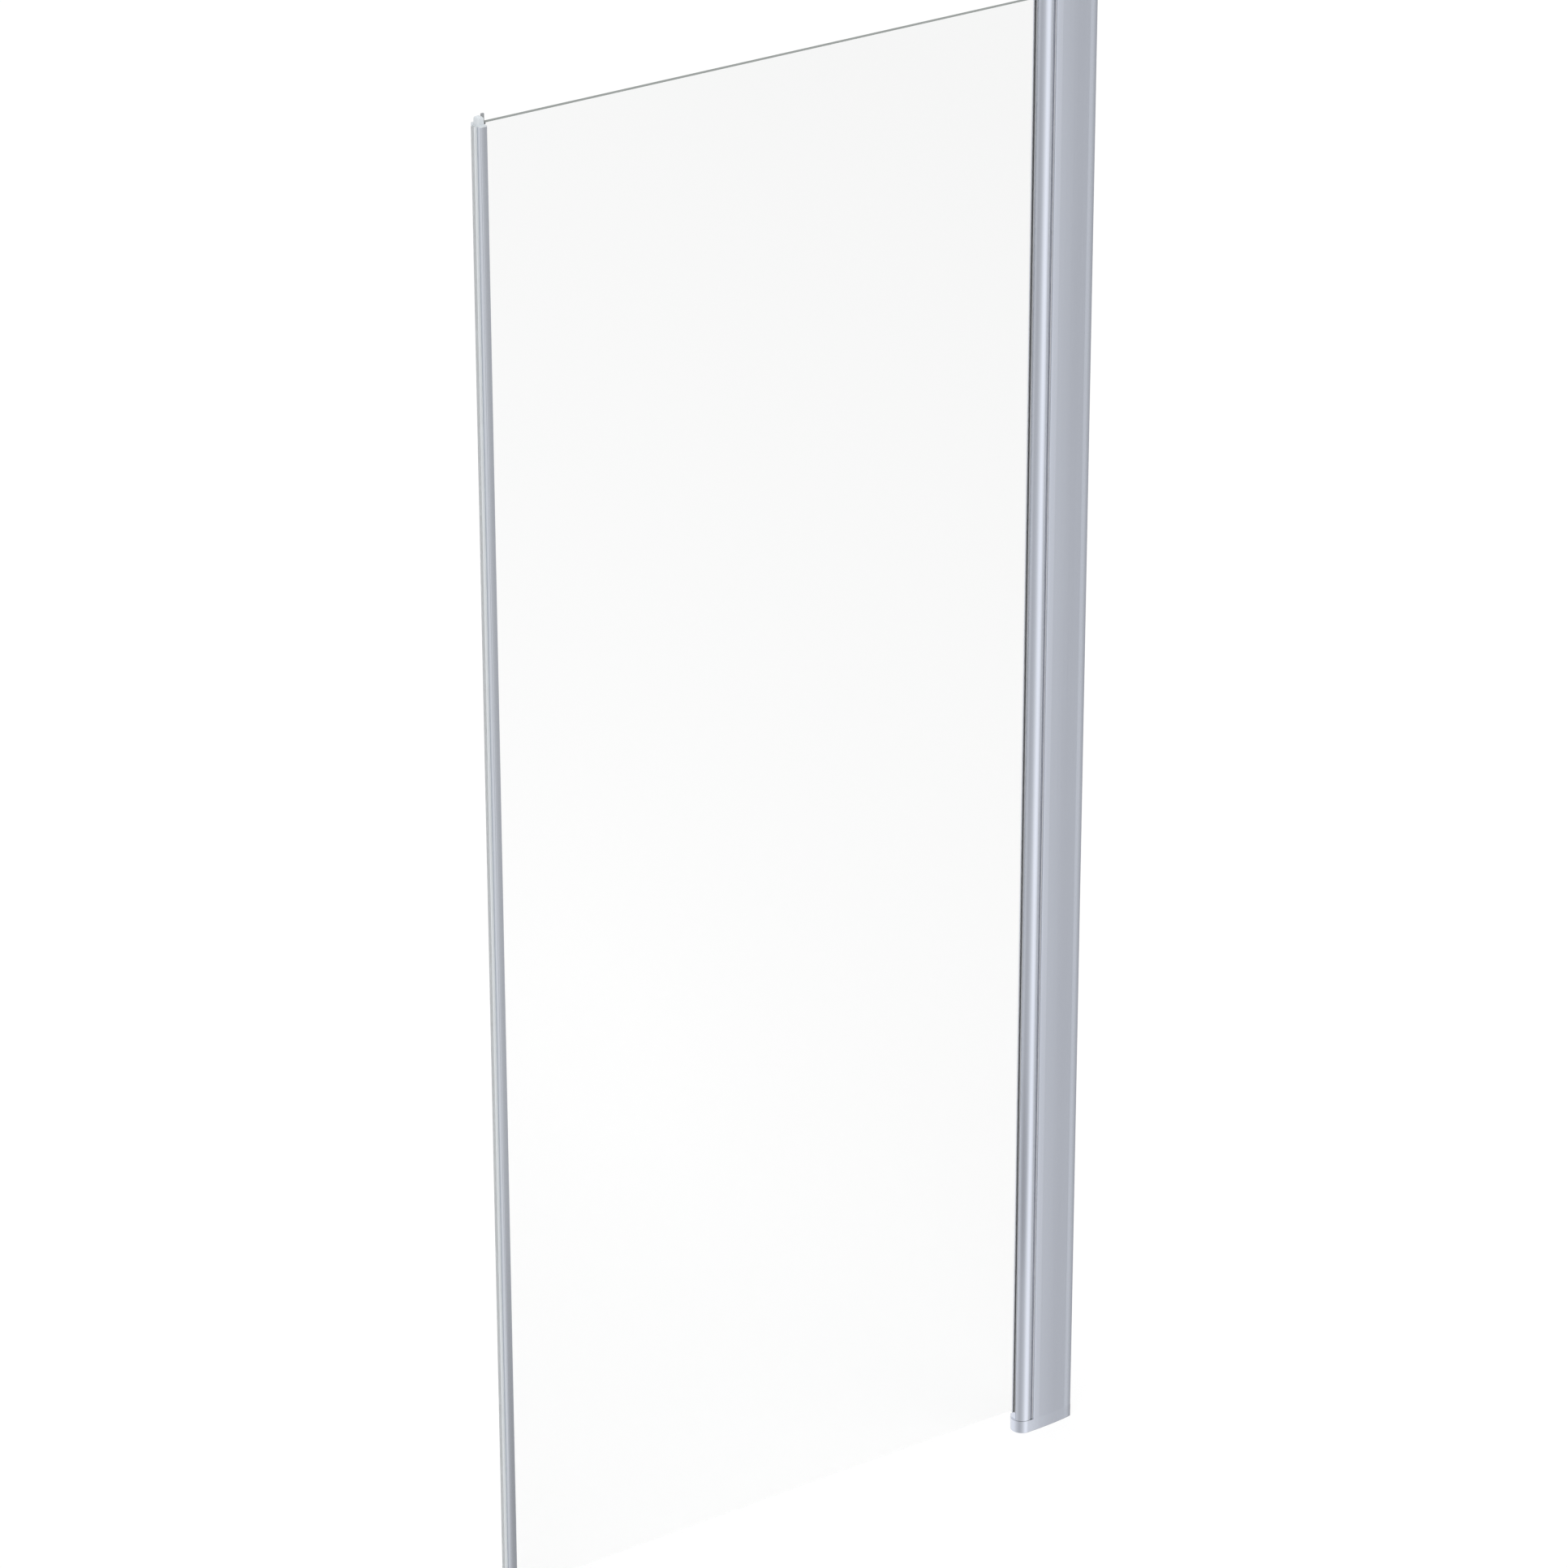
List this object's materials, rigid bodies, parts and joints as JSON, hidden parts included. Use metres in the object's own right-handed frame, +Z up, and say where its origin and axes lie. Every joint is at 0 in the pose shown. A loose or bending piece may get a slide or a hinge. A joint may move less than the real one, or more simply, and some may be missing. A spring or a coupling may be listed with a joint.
{
  "type": "shower door",
  "caption": "Pivot shower door: clear glass leaf in a round full-height hinge column that swings both ways in a telescopic wall profile, with a magnetic closing edge.",
  "frame": {"origin": "on the hinge axis, at the underside of the bottom cap", "axes": "+X towards the wall, -Y towards the outside of the shower, +Z up along the hinge axis"},
  "size_m": [0.8863, 0.0317, 2],
  "materials": {
    "aluminium_profile": "satin anodised",
    "clear_glass": "clear, polished edges",
    "dark_rubber": "soft, matte",
    "grey_gasket": "soft grey vinyl",
    "clear_vinyl": "translucent soft vinyl",
    "magnet": "bonded ferrite",
    "silver_plastic": "silver, fine moulded grain",
    "pale_plastic": "pale grey, smooth",
    "white_bearing": "white, self-lubricating",
    "stainless": "turned stainless",
    "zinc_steel": "bright zinc"
  },
  "bodies": {
    "wall_fixing": {"wall_channel": "aluminium_profile"},
    "housing": {"hinge_housing": "aluminium_profile", "housing_seal_front": "grey_gasket", "housing_seal_back": "grey_gasket", "housing_cap_bottom": "silver_plastic", "housing_cap_top": "silver_plastic", "cap_screws_bottom": "stainless", "cap_screws_top": "stainless", "pivot_pin_bottom": "stainless", "pivot_pin_top": "stainless", "pivot_washer": "stainless", "width_lock_screws": "stainless", "width_lock_plates": "zinc_steel", "width_lock_covers": "silver_plastic"},
    "door": {"hinge_column": "aluminium_profile", "column_plug_bottom": "silver_plastic", "column_plug_top": "silver_plastic", "pivot_bush_bottom": "white_bearing", "pivot_bush_top": "white_bearing", "glass_setting_block": "dark_rubber", "column_edge_spacers": "dark_rubber", "column_gasket_front": "dark_rubber", "column_gasket_back": "dark_rubber", "glass_panel": "clear_glass", "closing_profile": "aluminium_profile", "closing_edge_spacers": "dark_rubber", "closing_gasket_front": "grey_gasket", "closing_gasket_back": "grey_gasket", "magnet_carrier": "clear_vinyl", "magnet_strip": "magnet", "closing_cap_bottom": "pale_plastic", "closing_cap_top": "pale_plastic"}
  },
  "joints": [
    {"name": "width_adjust", "type": "slide", "parent": "wall_fixing", "child": "housing", "axis": [-1, 0, 0], "range_m": [0, 0.015]},
    {"name": "door_swing", "type": "hinge", "parent": "housing", "child": "door", "pos_m": [0, 0, 0], "axis": [0, 0, 1], "range_deg": [-90, 90]}
  ]
}
